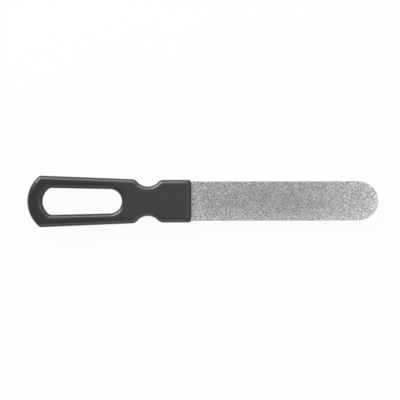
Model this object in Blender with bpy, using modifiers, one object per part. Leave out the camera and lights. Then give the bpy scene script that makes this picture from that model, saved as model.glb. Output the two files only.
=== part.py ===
"""A metal nail file: a steel blade, coated with abrasive on both faces, moulded into a plastic loop handle.

Lengths are in metres. +X runs from the loop to the blade's tip, +Y across the file, and +Z up out of its
front face. The origin is at the middle of the length, on the surface that the handle's back face lies on.
"""

import math

import bmesh
import bpy

# Lengths of the whole file
OVERALL_LENGTH = 0.1780
HANDLE_LENGTH = 0.0834

# Steel blade, with a narrower tang that the handle is moulded around
BLADE_WIDTH = 0.0200
BLADE_THICKNESS = 0.0010
BLADE_EDGE_BREAK = 0.00012
BLADE_SEAT_DEPTH = 0.0020
SHOULDER_CORNER_RADIUS = 0.0005
TANG_ROOT_RADIUS = 0.0010
TANG_END_RADIUS = 0.0020
ANCHOR_HOLE_RADIUS = 0.0020
ANCHOR_HOLE_END_DISTANCE = 0.0060

# Abrasive coat on each face of the blade
COAT_THICKNESS = 0.0002
COAT_MARGIN = 0.00015
COAT_REAR_MARGIN = 0.0005
BOND_GAP = 0.00002

# Handle seen from above, from the loop's end to the collar round the blade
LOOP_WIDTH = 0.0263
LOOP_END_BULGE = 0.0064
LOOP_CORNER_RADIUS = 0.0015
REAR_SHOULDER_WIDTH = 0.0226
REAR_SHOULDER_SETBACK = 0.0311
SHOULDER_RADIUS = 0.0040
NOTCH_RADIUS = 0.0071
NOTCH_DEPTH = 0.00335
NOTCH_SETBACK = 0.0221
COLLAR_WALL = 0.00085
COLLAR_CORNER_RADIUS = 0.0015

# Window in the loop, set by the plastic left around it
LOOP_END_RIM = 0.0078
RAIL_WIDTH_REAR = 0.00615
RAIL_WIDTH_FRONT = 0.0056
WINDOW_WEB = 0.0353
WINDOW_END_BULGE = 0.0039
WINDOW_CORNER_RADIUS = 0.0020

# Handle seen from its edge: walls that lean in from the parting line, then a rounded rim
HANDLE_THICKNESS = 0.0060
OUTER_DRAFT = math.radians(3)
OUTER_RIM_RADIUS = 0.0028
COLLAR_FRONT_RIM_WIDTH = 0.0031
WINDOW_DRAFT = math.radians(3)
WINDOW_RIM_RADIUS = 0.0026
WINDOW_END_RIM_WIDTH = 0.0027

# Plastic that the tang needs around it, and the fit of the moulding on the steel
WAIST_WALL = 0.0024
TANG_END_WALL = 0.0050
MOULDING_CLEARANCE = 0.0001

# Reach of a cutter past the face that it opens
CUT_OVERRUN = 0.0010

# A corner keeps this radius, or its own if that is less, when an inset would use it up
LEAST_CORNER_RADIUS = 0.0005

# Distance under which two points are one
WELD_DISTANCE = 0.000001

# Edges that turn more than these are shaded sharp, or have their corner broken
SHARP_ANGLE = math.radians(40)
BROKEN_ANGLE = math.radians(60)

# Segments in each kind of round
END_SEGMENTS = 12
CORNER_SEGMENTS = 4
NOTCH_SEGMENTS = 14
RIM_SEGMENTS = 5
HOLE_SEGMENTS = 24
TIP_SEGMENTS = 20

# Places that follow from the sizes above
LOOP_END_X = -OVERALL_LENGTH / 2
TIP_X = OVERALL_LENGTH / 2
COLLAR_X = LOOP_END_X + HANDLE_LENGTH
NOTCH_X = COLLAR_X - NOTCH_SETBACK
REAR_SHOULDER_X = COLLAR_X - REAR_SHOULDER_SETBACK
WINDOW_FRONT_X = COLLAR_X - WINDOW_WEB
WINDOW_REAR_X = LOOP_END_X + LOOP_END_RIM
COLLAR_HALF_WIDTH = BLADE_WIDTH / 2 + COLLAR_WALL
WAIST_HALF_WIDTH = COLLAR_HALF_WIDTH - NOTCH_DEPTH
TANG_HALF_WIDTH = WAIST_HALF_WIDTH - WAIST_WALL
TANG_END_X = WINDOW_FRONT_X + TANG_END_WALL
BLADE_SHOULDER_X = COLLAR_X - BLADE_SEAT_DEPTH
COAT_CENTRE_HEIGHT = BLADE_THICKNESS / 2 + BOND_GAP + COAT_THICKNESS / 2
COATED_HALF_THICKNESS = COAT_CENTRE_HEIGHT + COAT_THICKNESS / 2


def clear_scene():
    for thing in list(bpy.data.objects):
        bpy.data.objects.remove(thing, do_unlink=True)


def new_collection(name):
    collection = bpy.data.collections.new(name)
    bpy.context.scene.collection.children.link(collection)
    return collection


def add_object(name, mesh, collection, parent, height=0.0):
    """An object placed at a height above its parent."""
    thing = bpy.data.objects.new(name, mesh)
    collection.objects.link(thing)
    thing.parent = parent
    thing.location.z = height
    return thing


# Materials


def surface(name, colour, roughness, metallic):
    """A material with one Principled BSDF."""
    material = bpy.data.materials.new(name)
    material.use_nodes = True
    shader = material.node_tree.nodes["Principled BSDF"]
    shader.inputs["Base Color"].default_value = (*colour, 1.0)
    shader.inputs["Roughness"].default_value = roughness
    shader.inputs["Metallic"].default_value = metallic
    material.diffuse_color = (*colour, 1.0)
    return material


def black_plastic():
    return surface("black plastic", colour=(0.03, 0.03, 0.032), roughness=0.38, metallic=0.0)


def ground_steel():
    return surface("ground steel", colour=(0.62, 0.62, 0.61), roughness=0.32, metallic=1.0)


def coarse_grit():
    return surface("coarse grit", colour=(0.36, 0.36, 0.36), roughness=0.55, metallic=0.5)


def fine_grit():
    return surface("fine grit", colour=(0.42, 0.42, 0.42), roughness=0.5, metallic=0.5)


# Plane geometry


def arc(centre, radius, start, end, segments):
    """Points on a circle from one angle to another, both ends included."""
    step = (end - start) / segments
    angles = [start + step * i for i in range(segments + 1)]
    return [(centre[0] + radius * math.cos(a), centre[1] + radius * math.sin(a)) for a in angles]


def direction_to(start, end):
    return math.atan2(end[1] - start[1], end[0] - start[0])


def bulge_radius(half_chord, bulge):
    """Radius of the arc that stands this far out of a chord."""
    return (half_chord**2 + bulge**2) / (2 * bulge)


def beside(point, direction, distance):
    """A point moved square to a direction, to its right."""
    return (point[0] + distance * math.sin(direction), point[1] - distance * math.cos(direction))


def on_line_and_circle(point, direction, centre, radius, side):
    """Where a line meets a circle: side -1 is the crossing before its middle, and +1 the one after."""
    along = (math.cos(direction), math.sin(direction))
    reach = (centre[0] - point[0]) * along[0] + (centre[1] - point[1]) * along[1]
    middle = (point[0] + reach * along[0], point[1] + reach * along[1])
    half = math.sqrt(radius**2 - math.dist(middle, centre) ** 2)
    return (middle[0] + side * half * along[0], middle[1] + side * half * along[1])


def inset_corner(radius, inset):
    """The radius that is left of a rounded corner when its sides move in."""
    return max(radius - inset, min(radius, LEAST_CORNER_RADIUS))


def rounded_outline(corners):
    """A closed outline with each corner (x, y, radius, segments) rounded. A zero radius keeps it sharp."""
    points = []
    for i, (x, y, radius, segments) in enumerate(corners):
        before, after = corners[i - 1], corners[(i + 1) % len(corners)]
        if radius == 0:
            points.append((x, y))
            continue
        arrive = direction_to(before, (x, y))
        leave = direction_to((x, y), after)
        turn = math.remainder(leave - arrive, math.tau)
        setback = radius * math.tan(abs(turn) / 2)
        start = (x - setback * math.cos(arrive), y - setback * math.sin(arrive))
        centre = beside(start, arrive, -math.copysign(radius, turn))
        first = direction_to(centre, start)
        points += arc(centre, radius, first, first + turn, segments)
    return points


def both_sides(half):
    """The closed outline whose upper half this is, run from its rear end to its front end."""
    return half + [(x, -y) for x, y in reversed(half) if y > WELD_DISTANCE]


# Outlines of the handle, at any inset from its widest section


def rail_line():
    """The loop's outer edge: its rear corner and its direction."""
    rear = (LOOP_END_X + LOOP_END_BULGE, LOOP_WIDTH / 2)
    front = (REAR_SHOULDER_X, REAR_SHOULDER_WIDTH / 2)
    return rear, direction_to(rear, front)


def rail_half_width(x):
    rear, direction = rail_line()
    return rear[1] + (x - rear[0]) * math.tan(direction)


def handle_outline(inset):
    """Bulged loop end, tapering rail, grip notch and collar, all moved in by the inset.

    The collar's front moves in by more, so that its rim is as wide as its own size says.
    """
    front_inset = inset * COLLAR_FRONT_RIM_WIDTH / rim_width(OUTER_DRAFT, OUTER_RIM_RADIUS)
    rear, rail = rail_line()
    square_to_rail = rail + math.pi / 2

    end_radius = bulge_radius(LOOP_WIDTH / 2, LOOP_END_BULGE)
    end_centre = (LOOP_END_X + end_radius, 0)
    corner = inset_corner(LOOP_CORNER_RADIUS, inset)
    corner_line = beside(rear, rail, inset + corner)
    corner_centre = on_line_and_circle(corner_line, rail, end_centre, end_radius - inset - corner, -1)
    end_stop = direction_to(end_centre, corner_centre)

    notch_centre = (NOTCH_X, WAIST_HALF_WIDTH + NOTCH_RADIUS)
    shoulder = inset_corner(SHOULDER_RADIUS, inset)
    reach = NOTCH_RADIUS + inset + shoulder
    rear_line = beside(rear, rail, inset + shoulder)
    rear_centre = on_line_and_circle(rear_line, rail, notch_centre, reach, -1)
    collar_line = (NOTCH_X, COLLAR_HALF_WIDTH - inset - shoulder)
    front_centre = on_line_and_circle(collar_line, 0, notch_centre, reach, 1)
    to_rear = direction_to(notch_centre, rear_centre) + math.tau
    to_front = direction_to(notch_centre, front_centre) + math.tau

    front = inset_corner(COLLAR_CORNER_RADIUS, inset)
    front_corner = (COLLAR_X - front_inset - front, COLLAR_HALF_WIDTH - inset - front)

    half = arc(end_centre, end_radius - inset, math.pi, end_stop, END_SEGMENTS)
    half += arc(corner_centre, corner, end_stop, square_to_rail, CORNER_SEGMENTS)[1:]
    half += arc(rear_centre, shoulder, square_to_rail, to_rear - math.pi, CORNER_SEGMENTS)
    half += arc(notch_centre, NOTCH_RADIUS + inset, to_rear, to_front, NOTCH_SEGMENTS)[1:]
    half += arc(front_centre, shoulder, to_front - math.pi, math.pi / 2, CORNER_SEGMENTS)[1:]
    half += arc(front_corner, front, math.pi / 2, 0, CORNER_SEGMENTS)
    return both_sides(half)


def window_outline(inset):
    """The window through the loop, its edge moved back into the plastic by the inset.

    Its two ends move back by more, so that they have the wider rim that their own size says.
    """
    end_shift = inset * (WINDOW_END_RIM_WIDTH / rim_width(WINDOW_DRAFT, WINDOW_RIM_RADIUS) - 1)
    rear_half = rail_half_width(WINDOW_REAR_X + WINDOW_END_BULGE) - RAIL_WIDTH_REAR
    rear = (WINDOW_REAR_X + WINDOW_END_BULGE, rear_half)
    front_half = rail_half_width(WINDOW_FRONT_X - rear_half) - RAIL_WIDTH_FRONT
    edge = direction_to(rear, (WINDOW_FRONT_X - front_half, front_half))
    square_to_edge = edge + math.pi / 2
    front_centre = (WINDOW_FRONT_X - front_half + end_shift, 0)

    end_radius = bulge_radius(rear_half, WINDOW_END_BULGE)
    end_centre = (WINDOW_REAR_X + end_radius - end_shift, 0)
    corner_line = beside(rear, edge, WINDOW_CORNER_RADIUS)
    reach = end_radius - WINDOW_CORNER_RADIUS
    corner_centre = on_line_and_circle(corner_line, edge, end_centre, reach, -1)
    end_stop = direction_to(end_centre, corner_centre)

    half = arc(end_centre, end_radius + inset, math.pi, end_stop, END_SEGMENTS)
    half += arc(corner_centre, WINDOW_CORNER_RADIUS + inset, end_stop, square_to_edge, CORNER_SEGMENTS)[1:]
    half += arc(front_centre, front_half + inset, square_to_edge, 0, NOTCH_SEGMENTS)
    return both_sides(half)


def fitted_rim_radius(rim_radius):
    """A rim can't be rounder than half the handle's thickness."""
    return min(rim_radius, HANDLE_THICKNESS / 2)


def rim_width(draft, rim_radius):
    """How far in from the parting line a wall and its rim reach the flat face."""
    radius = fitted_rim_radius(rim_radius)
    return (radius + (HANDLE_THICKNESS / 2 - radius) * math.sin(draft)) / math.cos(draft)


def rim_section(draft, rim_radius):
    """Insets and heights from the back face's edge, round the parting line, to the front face's edge."""
    radius = fitted_rim_radius(rim_radius)
    centre = (rim_width(draft, rim_radius), HANDLE_THICKNESS / 2 - radius)
    front = [(0, 0)] + arc(centre, radius, math.pi - draft, math.pi / 2, RIM_SEGMENTS)
    back = [(inset, -height) for inset, height in reversed(front[1:])]
    return back + front


# Meshes


def mesh_from(name, bm, material=None):
    """A smoothly shaded mesh with its faces turned outward."""
    bmesh.ops.recalc_face_normals(bm, faces=bm.faces)
    mesh = bpy.data.meshes.new(name)
    bm.to_mesh(mesh)
    bm.free()
    mesh.shade_smooth()
    mesh.set_sharp_from_angle(angle=SHARP_ANGLE)
    if material:
        mesh.materials.append(material)
    return mesh


def flat_plate(name, outlines, thickness, material=None):
    """A plate about its own middle plane: the first outline is its edge, and the others are holes."""
    curve = bpy.data.curves.new(name, "CURVE")
    curve.dimensions = "2D"
    curve.fill_mode = "BOTH"
    curve.extrude = thickness / 2
    for outline in outlines:
        spline = curve.splines.new("POLY")
        spline.points.add(len(outline) - 1)
        for point, (x, y) in zip(spline.points, outline):
            point.co = (x, y, 0, 1)
        spline.use_cyclic_u = True
    holder = bpy.data.objects.new(name, curve)
    bpy.context.scene.collection.objects.link(holder)
    graph = bpy.context.evaluated_depsgraph_get()
    raw = bpy.data.meshes.new_from_object(holder.evaluated_get(graph))
    bm = bmesh.new()
    bm.from_mesh(raw)
    bmesh.ops.remove_doubles(bm, verts=bm.verts, dist=WELD_DISTANCE)
    bpy.data.objects.remove(holder)
    bpy.data.curves.remove(curve)
    bpy.data.meshes.remove(raw)
    return mesh_from(name, bm, material)


def skin_of_rings(bm, outline_at, section):
    """Quads between an outline's rings at each inset and height. Returns the first and last ring."""
    rings = []
    for inset, height in section:
        rings.append([bm.verts.new((x, y, height)) for x, y in outline_at(inset)])
    for lower, upper in zip(rings, rings[1:]):
        for i in range(len(lower)):
            bm.faces.new((lower[i - 1], lower[i], upper[i], upper[i - 1]))
    return rings[0], rings[-1]


def ring_edges(bm, ring):
    return [bm.edges.get((ring[i - 1], ring[i])) for i in range(len(ring))]


def loop_handle_body(name, material):
    """The handle before its socket is cut: an outer skin, a window skin, and flat front and back faces."""
    bm = bmesh.new()
    outer = skin_of_rings(bm, handle_outline, rim_section(OUTER_DRAFT, OUTER_RIM_RADIUS))
    window = skin_of_rings(bm, window_outline, rim_section(WINDOW_DRAFT, WINDOW_RIM_RADIUS))
    for outer_ring, window_ring in zip(outer, window):
        rim = ring_edges(bm, outer_ring) + ring_edges(bm, window_ring)
        bmesh.ops.triangle_fill(bm, edges=rim, use_beauty=True, use_dissolve=False)
    return mesh_from(name, bm, material)


# Sub-parts


def mirrored(upper):
    """The corners of a whole outline from those of its upper half, which starts at the front."""
    return upper + [(x, -y, radius, segments) for x, y, radius, segments in reversed(upper)]


def anchor_circles(radius):
    """Circles of this radius on the centres of the tang's two anchor holes."""
    places = (TANG_END_X + ANCHOR_HOLE_END_DISTANCE, BLADE_SHOULDER_X - ANCHOR_HOLE_END_DISTANCE)
    return [arc((x, 0), radius, 0, math.tau, HOLE_SEGMENTS)[:-1] for x in places]


def blade_outline():
    half = BLADE_WIDTH / 2
    return rounded_outline(mirrored([
        (TIP_X, half, half, TIP_SEGMENTS),
        (BLADE_SHOULDER_X, half, SHOULDER_CORNER_RADIUS, CORNER_SEGMENTS),
        (BLADE_SHOULDER_X, TANG_HALF_WIDTH, TANG_ROOT_RADIUS, CORNER_SEGMENTS),
        (TANG_END_X, TANG_HALF_WIDTH, TANG_END_RADIUS, CORNER_SEGMENTS),
    ]))


def make_blade(collection, parent):
    """The stamped steel strip: round tip, square shoulders and a tang with two anchor holes."""
    outlines = [blade_outline()] + anchor_circles(ANCHOR_HOLE_RADIUS)
    mesh = flat_plate("file_blade", outlines, BLADE_THICKNESS, ground_steel())
    blade = add_object("file_blade", mesh, collection, parent)
    bevel = blade.modifiers.new("broken edges", "BEVEL")
    bevel.width = BLADE_EDGE_BREAK
    bevel.segments = 1
    bevel.limit_method = "ANGLE"
    bevel.angle_limit = BROKEN_ANGLE


def coat_outline():
    half = BLADE_WIDTH / 2 - COAT_MARGIN
    return rounded_outline(mirrored([
        (TIP_X - COAT_MARGIN, half, half, TIP_SEGMENTS),
        (BLADE_SHOULDER_X + COAT_REAR_MARGIN, half, 0, 1),
    ]))


def make_coats(collection, parent):
    """The abrasive coat bonded to each face of the blade: coarse in front and fine behind."""
    front = flat_plate("front_grit_coat", [coat_outline()], COAT_THICKNESS, coarse_grit())
    back = flat_plate("back_grit_coat", [coat_outline()], COAT_THICKNESS, fine_grit())
    add_object(front.name, front, collection, parent, COAT_CENTRE_HEIGHT)
    add_object(back.name, back, collection, parent, -COAT_CENTRE_HEIGHT)


def mouth_cutter():
    """The room that the coated blade takes in the collar."""
    rear = BLADE_SHOULDER_X - MOULDING_CLEARANCE
    front = COLLAR_X + CUT_OVERRUN
    half = BLADE_WIDTH / 2 + MOULDING_CLEARANCE
    outline = [(rear, -half), (front, -half), (front, half), (rear, half)]
    return flat_plate("mouth_cutter", [outline], 2 * (COATED_HALF_THICKNESS + MOULDING_CLEARANCE))


def tang_slot_cutter():
    """The room that the tang takes, with a peg of plastic left standing in each anchor hole."""
    shoulder_x = BLADE_SHOULDER_X - MOULDING_CLEARANCE
    half = TANG_HALF_WIDTH + MOULDING_CLEARANCE
    root_radius = inset_corner(TANG_ROOT_RADIUS, MOULDING_CLEARANCE)
    end_radius = TANG_END_RADIUS + MOULDING_CLEARANCE
    slot = rounded_outline(mirrored([
        (COLLAR_X, BLADE_WIDTH / 2, 0, 1),
        (shoulder_x, BLADE_WIDTH / 2, 0, 1),
        (shoulder_x, half, root_radius, CORNER_SEGMENTS),
        (TANG_END_X - MOULDING_CLEARANCE, half, end_radius, CORNER_SEGMENTS),
    ]))
    pegs = anchor_circles(ANCHOR_HOLE_RADIUS - MOULDING_CLEARANCE)
    return flat_plate("tang_slot_cutter", [slot] + pegs, BLADE_THICKNESS + 2 * MOULDING_CLEARANCE)


def make_handle(collection, cutter_collection, parent):
    """The plastic moulding, with the blade's socket cut out of it."""
    body = loop_handle_body("loop_handle", black_plastic())
    handle = add_object("loop_handle", body, collection, parent)
    for mesh in (mouth_cutter(), tang_slot_cutter()):
        cutter = add_object(mesh.name, mesh, cutter_collection, parent)
        cutter.hide_render = True
        cutter.display_type = "WIRE"
        cut = handle.modifiers.new(mesh.name, "BOOLEAN")
        cut.operation = "DIFFERENCE"
        cut.object = cutter
        cut.solver = "EXACT"


def main():
    clear_scene()
    parts = new_collection("metal nail file")
    cutters = new_collection("cutters")

    middle_plane = bpy.data.objects.new("middle_plane", None)
    parts.objects.link(middle_plane)
    middle_plane.location.z = HANDLE_THICKNESS / 2

    make_blade(parts, middle_plane)
    make_coats(parts, middle_plane)
    make_handle(parts, cutters, middle_plane)


main()
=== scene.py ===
# %% [markdown]
# # A metal nail file in a studio
#
# The file is a strip of steel with abrasive on both faces, moulded into a black plastic handle with a
# hanging loop. The engineering model already fixes where each of its four pieces is and how big it is,
# and this lesson gives each piece its finished surface. Lengths are in metres, +X runs from the loop to
# the blade's tip, and +Z comes out of the file's front face.

# %% Load the engineering model
import math
import random

import bmesh
import bpy
import numpy as np
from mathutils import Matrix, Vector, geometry, noise


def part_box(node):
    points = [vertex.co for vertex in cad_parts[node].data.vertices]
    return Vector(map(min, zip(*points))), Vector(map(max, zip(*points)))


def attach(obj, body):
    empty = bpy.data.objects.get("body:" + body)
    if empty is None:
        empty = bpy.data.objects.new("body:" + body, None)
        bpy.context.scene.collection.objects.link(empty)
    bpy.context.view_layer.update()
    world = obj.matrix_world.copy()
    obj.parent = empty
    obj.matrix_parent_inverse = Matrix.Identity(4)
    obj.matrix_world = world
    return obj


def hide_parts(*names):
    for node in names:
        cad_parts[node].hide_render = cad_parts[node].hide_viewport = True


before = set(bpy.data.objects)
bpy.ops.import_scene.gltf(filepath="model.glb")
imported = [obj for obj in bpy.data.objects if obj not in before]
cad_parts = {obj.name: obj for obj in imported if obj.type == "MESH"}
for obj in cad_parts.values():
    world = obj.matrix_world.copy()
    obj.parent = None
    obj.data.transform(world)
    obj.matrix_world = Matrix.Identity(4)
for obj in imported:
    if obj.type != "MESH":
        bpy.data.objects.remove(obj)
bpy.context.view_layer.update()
handle_low, handle_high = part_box("loop_handle")
blade_low, blade_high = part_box("file_blade")
coat_low, coat_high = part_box("front_grit_coat")

MM = 0.001

# %% [markdown]
# ## Arcs and offsets
#
# The handle's outline is made of straight lines and arcs that run smoothly into each other. It could be
# traced with a Bezier curve, but a curve can't be moved inward evenly. When each arc is kept as a centre
# and a radius, the whole outline can be moved in by any distance with the same number of points, and two
# such outlines join up point for point into a wall.

# %% Points on arcs, and where a line meets a circle


def arc(centre, radius, start, end, segments):
    """Points on a circle from one angle to another, both ends included."""
    step = (end - start) / segments
    angles = [start + step * i for i in range(segments + 1)]
    return [(centre[0] + radius * math.cos(a), centre[1] + radius * math.sin(a)) for a in angles]


def direction_to(start, end):
    return math.atan2(end[1] - start[1], end[0] - start[0])


def bulge_radius(half_chord, bulge):
    """Radius of the arc that stands this far out of a chord."""
    return (half_chord**2 + bulge**2) / (2 * bulge)


def beside(point, direction, distance):
    """A point moved square to a direction, to its right."""
    return (point[0] + distance * math.sin(direction), point[1] - distance * math.cos(direction))


def on_line_and_circle(point, direction, centre, radius, side):
    """Where a line meets a circle, before its middle (-1) or after it (+1)."""
    along = (math.cos(direction), math.sin(direction))
    reach = (centre[0] - point[0]) * along[0] + (centre[1] - point[1]) * along[1]
    middle = (point[0] + reach * along[0], point[1] + reach * along[1])
    half = math.sqrt(radius**2 - math.dist(middle, centre) ** 2)
    return (middle[0] + side * half * along[0], middle[1] + side * half * along[1])


print("an arc of 3 points:", arc((0, 0), 1, 0, math.pi, 2))

# %% [markdown]
# ## The handle's plan
#
# Seen from above, the real handle has a loop with a bulged end, rails that taper toward a finger notch in
# each side, and a square collar round the blade. Simple solids pieced together would leave corners to
# round one by one, while in one outline every arc starts where the last one stops. Its length, thickness
# and place come from the engineering model, and the sizes below shape it between those limits.

# %% Sizes of the plan
LOOP_END_X = handle_low.x
COLLAR_X = handle_high.x
TIP_X = blade_high.x
BLADE_HALF = blade_high.y

LOOP_HALF = 13.15 * MM
LOOP_BULGE = 6.4 * MM
LOOP_CORNER = 1.5 * MM
REAR_SHOULDER_HALF = 11.3 * MM
REAR_SHOULDER_X = COLLAR_X - 31.1 * MM
SHOULDER_RADIUS = 4.0 * MM
NOTCH_RADIUS = 7.1 * MM
NOTCH_X = COLLAR_X - 22.1 * MM
COLLAR_HALF = BLADE_HALF + 0.85 * MM
WAIST_HALF = COLLAR_HALF - 3.35 * MM
COLLAR_CORNER = 1.5 * MM
LEAST_CORNER = 0.5 * MM

WINDOW_REAR_X = LOOP_END_X + 7.8 * MM
WINDOW_FRONT_X = COLLAR_X - 35.3 * MM
WINDOW_BULGE = 3.9 * MM
WINDOW_CORNER = 2.0 * MM
RAIL_REAR = 6.15 * MM
RAIL_FRONT = 5.6 * MM

print("handle length, mm:", round((COLLAR_X - LOOP_END_X) / MM, 1))

# %% Join arcs into a closed outline
ARC_STEPS = 48
CORNER_STEPS = 12
SAME_PLACE = 1e-9


def with_divided_lines(pieces):
    """Joins arcs end to end, and divides the straight line between one arc and the next."""
    points = []
    for piece, divisions in pieces:
        if points and divisions > 1:
            last, first = points[-1], piece[0]
            for i in range(1, divisions):
                points.append(tuple(a + (b - a) * i / divisions for a, b in zip(last, first)))
        if points and math.dist(points[-1], piece[0]) < SAME_PLACE:
            piece = piece[1:]
        points += piece
    return points


def both_sides(half):
    """A closed outline from its upper half, with its straight stretches divided."""
    half = with_divided_lines(half)
    return half + [(x, -y) for x, y in reversed(half) if y > SAME_PLACE]


diamond = both_sides([([(-1, 0)], 1), ([(0, 1)], 2), ([(1, 0)], 2)])
print("points round a diamond:", len(diamond))

# %% Outline of the handle at any inset
OUTER_RIM = 2.84 * MM
COLLAR_FRONT_RIM = 3.1 * MM
RAIL_DIVISIONS = 40
COLLAR_DIVISIONS = 12


def inset_corner(radius, inset):
    """The radius that is left of a rounded corner when its sides move in."""
    return max(radius - inset, LEAST_CORNER)


def rail():
    """The loop's outer edge: its rear corner and its direction."""
    rear = (LOOP_END_X + LOOP_BULGE, LOOP_HALF)
    return rear, direction_to(rear, (REAR_SHOULDER_X, REAR_SHOULDER_HALF))


def handle_outline(inset):
    """Each arc with the number of steps in the straight line that leads to it."""
    front_inset = inset * COLLAR_FRONT_RIM / OUTER_RIM
    rear, slope = rail()
    square = slope + math.pi / 2
    end_radius = bulge_radius(LOOP_HALF, LOOP_BULGE)
    end_centre = (LOOP_END_X + end_radius, 0)
    corner = inset_corner(LOOP_CORNER, inset)
    corner_line = beside(rear, slope, inset + corner)
    corner_reach = end_radius - inset - corner
    corner_centre = on_line_and_circle(corner_line, slope, end_centre, corner_reach, -1)
    end_stop = direction_to(end_centre, corner_centre)

    notch = (NOTCH_X, WAIST_HALF + NOTCH_RADIUS)
    shoulder = inset_corner(SHOULDER_RADIUS, inset)
    reach = NOTCH_RADIUS + inset + shoulder
    rear_centre = on_line_and_circle(beside(rear, slope, inset + shoulder), slope, notch, reach, -1)
    front_line = (NOTCH_X, COLLAR_HALF - inset - shoulder)
    front_centre = on_line_and_circle(front_line, 0, notch, reach, 1)
    to_rear = direction_to(notch, rear_centre) + math.tau
    to_front = direction_to(notch, front_centre) + math.tau
    front = inset_corner(COLLAR_CORNER, inset)
    front_corner = (COLLAR_X - front_inset - front, COLLAR_HALF - inset - front)

    return both_sides([
        (arc(end_centre, end_radius - inset, math.pi, end_stop, ARC_STEPS), 1),
        (arc(corner_centre, corner, end_stop, square, CORNER_STEPS), 1),
        (arc(rear_centre, shoulder, square, to_rear - math.pi, CORNER_STEPS), RAIL_DIVISIONS),
        (arc(notch, NOTCH_RADIUS + inset, to_rear, to_front, ARC_STEPS), 1),
        (arc(front_centre, shoulder, to_front - math.pi, math.pi / 2, CORNER_STEPS), 1),
        (arc(front_corner, front, math.pi / 2, 0, CORNER_STEPS), COLLAR_DIVISIONS),
        ([(COLLAR_X - front_inset, 0)], COLLAR_DIVISIONS),
    ])


print("points round the handle:", len(handle_outline(0)), len(handle_outline(OUTER_RIM)))

# %% Outline of the window at any inset
WINDOW_RIM = 2.65 * MM
WINDOW_END_RIM = 2.7 * MM
WINDOW_DIVISIONS = 30


def rail_half(x):
    rear, slope = rail()
    return rear[1] + (x - rear[0]) * math.tan(slope)


def window_outline(inset):
    """The window's edge moved back into the plastic, and moved further at its two ends."""
    shift = inset * (WINDOW_END_RIM / WINDOW_RIM - 1)
    rear_half = rail_half(WINDOW_REAR_X + WINDOW_BULGE) - RAIL_REAR
    rear = (WINDOW_REAR_X + WINDOW_BULGE, rear_half)
    front_half = rail_half(WINDOW_FRONT_X - rear_half) - RAIL_FRONT
    slope = direction_to(rear, (WINDOW_FRONT_X - front_half, front_half))
    square = slope + math.pi / 2
    front_centre = (WINDOW_FRONT_X - front_half + shift, 0)
    end_radius = bulge_radius(rear_half, WINDOW_BULGE)
    end_centre = (WINDOW_REAR_X + end_radius - shift, 0)
    corner_line = beside(rear, slope, WINDOW_CORNER)
    corner_reach = end_radius - WINDOW_CORNER
    corner_centre = on_line_and_circle(corner_line, slope, end_centre, corner_reach, -1)
    end_stop = direction_to(end_centre, corner_centre)
    return both_sides([
        (arc(end_centre, end_radius + inset, math.pi, end_stop, ARC_STEPS), 1),
        (arc(corner_centre, WINDOW_CORNER + inset, end_stop, square, CORNER_STEPS), 1),
        (arc(front_centre, front_half + inset, square, 0, ARC_STEPS), WINDOW_DIVISIONS),
    ])


print("points round the window:", len(window_outline(0)), len(window_outline(WINDOW_RIM)))

# %% [markdown]
# ## The handle's section
#
# The moulding has no sharp edge anywhere. From the parting line at half its thickness the walls lean in,
# so that it leaves its mould, and a rounded rim carries them over to the flat face. Where the two halves
# of the mould met there is a hair of flash. A Bevel modifier would round a straight wall, but not a
# leaning one that is wider at the collar's front and at the window's ends, so the section is drawn once
# and swept round each outline.

# %% Section of a wall, as insets and heights
HALF_THICKNESS = (handle_high.z - handle_low.z) / 2
MIDDLE_Z = (handle_high.z + handle_low.z) / 2
CROWN = 0.04 * MM
FLASH_DEPTH = 0.03 * MM
FLASH_HALF_HEIGHT = 0.06 * MM
OUTER_RIM_RADIUS = 2.8 * MM
WINDOW_RIM_RADIUS = 2.6 * MM
RIM_STEPS = 12
WALL_STEPS = 2


def wall_section(rim_width, rim_radius):
    """From the edge of the back face, over the flash, to the edge of the front face."""
    foot = (FLASH_DEPTH, FLASH_HALF_HEIGHT)
    centre = (rim_width, HALF_THICKNESS - CROWN - rim_radius)
    lean = math.pi / 2 - direction_to(foot, centre) - math.asin(rim_radius / math.dist(foot, centre))
    rim = arc(centre, rim_radius, math.pi - lean, math.pi / 2, RIM_STEPS)
    shares = [i / WALL_STEPS for i in range(WALL_STEPS)]
    wall = [tuple(a + (b - a) * share for a, b in zip(foot, rim[0])) for share in shares]
    front = [(0, 0)] + wall + rim
    back = [(inset, -height) for inset, height in reversed(front[1:])]
    return back + front


outer_section = wall_section(OUTER_RIM, OUTER_RIM_RADIUS)
window_section = wall_section(WINDOW_RIM, WINDOW_RIM_RADIUS)
print("rings in a wall:", len(outer_section))

# %% [markdown]
# ## Skins and faces
#
# Sweeping the section round the plan gives the outer skin and the skin of the window. What is left open
# is a flat ring of ground at the front and at the back. One big n-gon would close it, but even triangles
# let the face rise by a few hundredths of a millimetre toward its middle, as moulded plastic does, and
# that is what makes the light slide over it.

# %% Sweep a section round an outline


def sweep(points, faces, outline, section):
    """Adds a wall's quads to the lists, and returns its first and last ring of point numbers."""
    rings = []
    for inset, height in section:
        ring = outline(inset)
        rings.append(range(len(points), len(points) + len(ring)))
        points += [(x, y, MIDDLE_Z + height) for x, y in ring]
    for lower, upper in zip(rings, rings[1:]):
        faces += [(lower[i - 1], lower[i], upper[i], upper[i - 1]) for i in range(len(lower))]
    return rings[0], rings[-1]


handle_points, handle_faces = [], []
outer_rings = sweep(handle_points, handle_faces, handle_outline, outer_section)
window_rings = sweep(handle_points, handle_faces, window_outline, window_section)
print("points in both skins:", len(handle_points))

# %% Inside or outside, and how far from an edge


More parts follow.
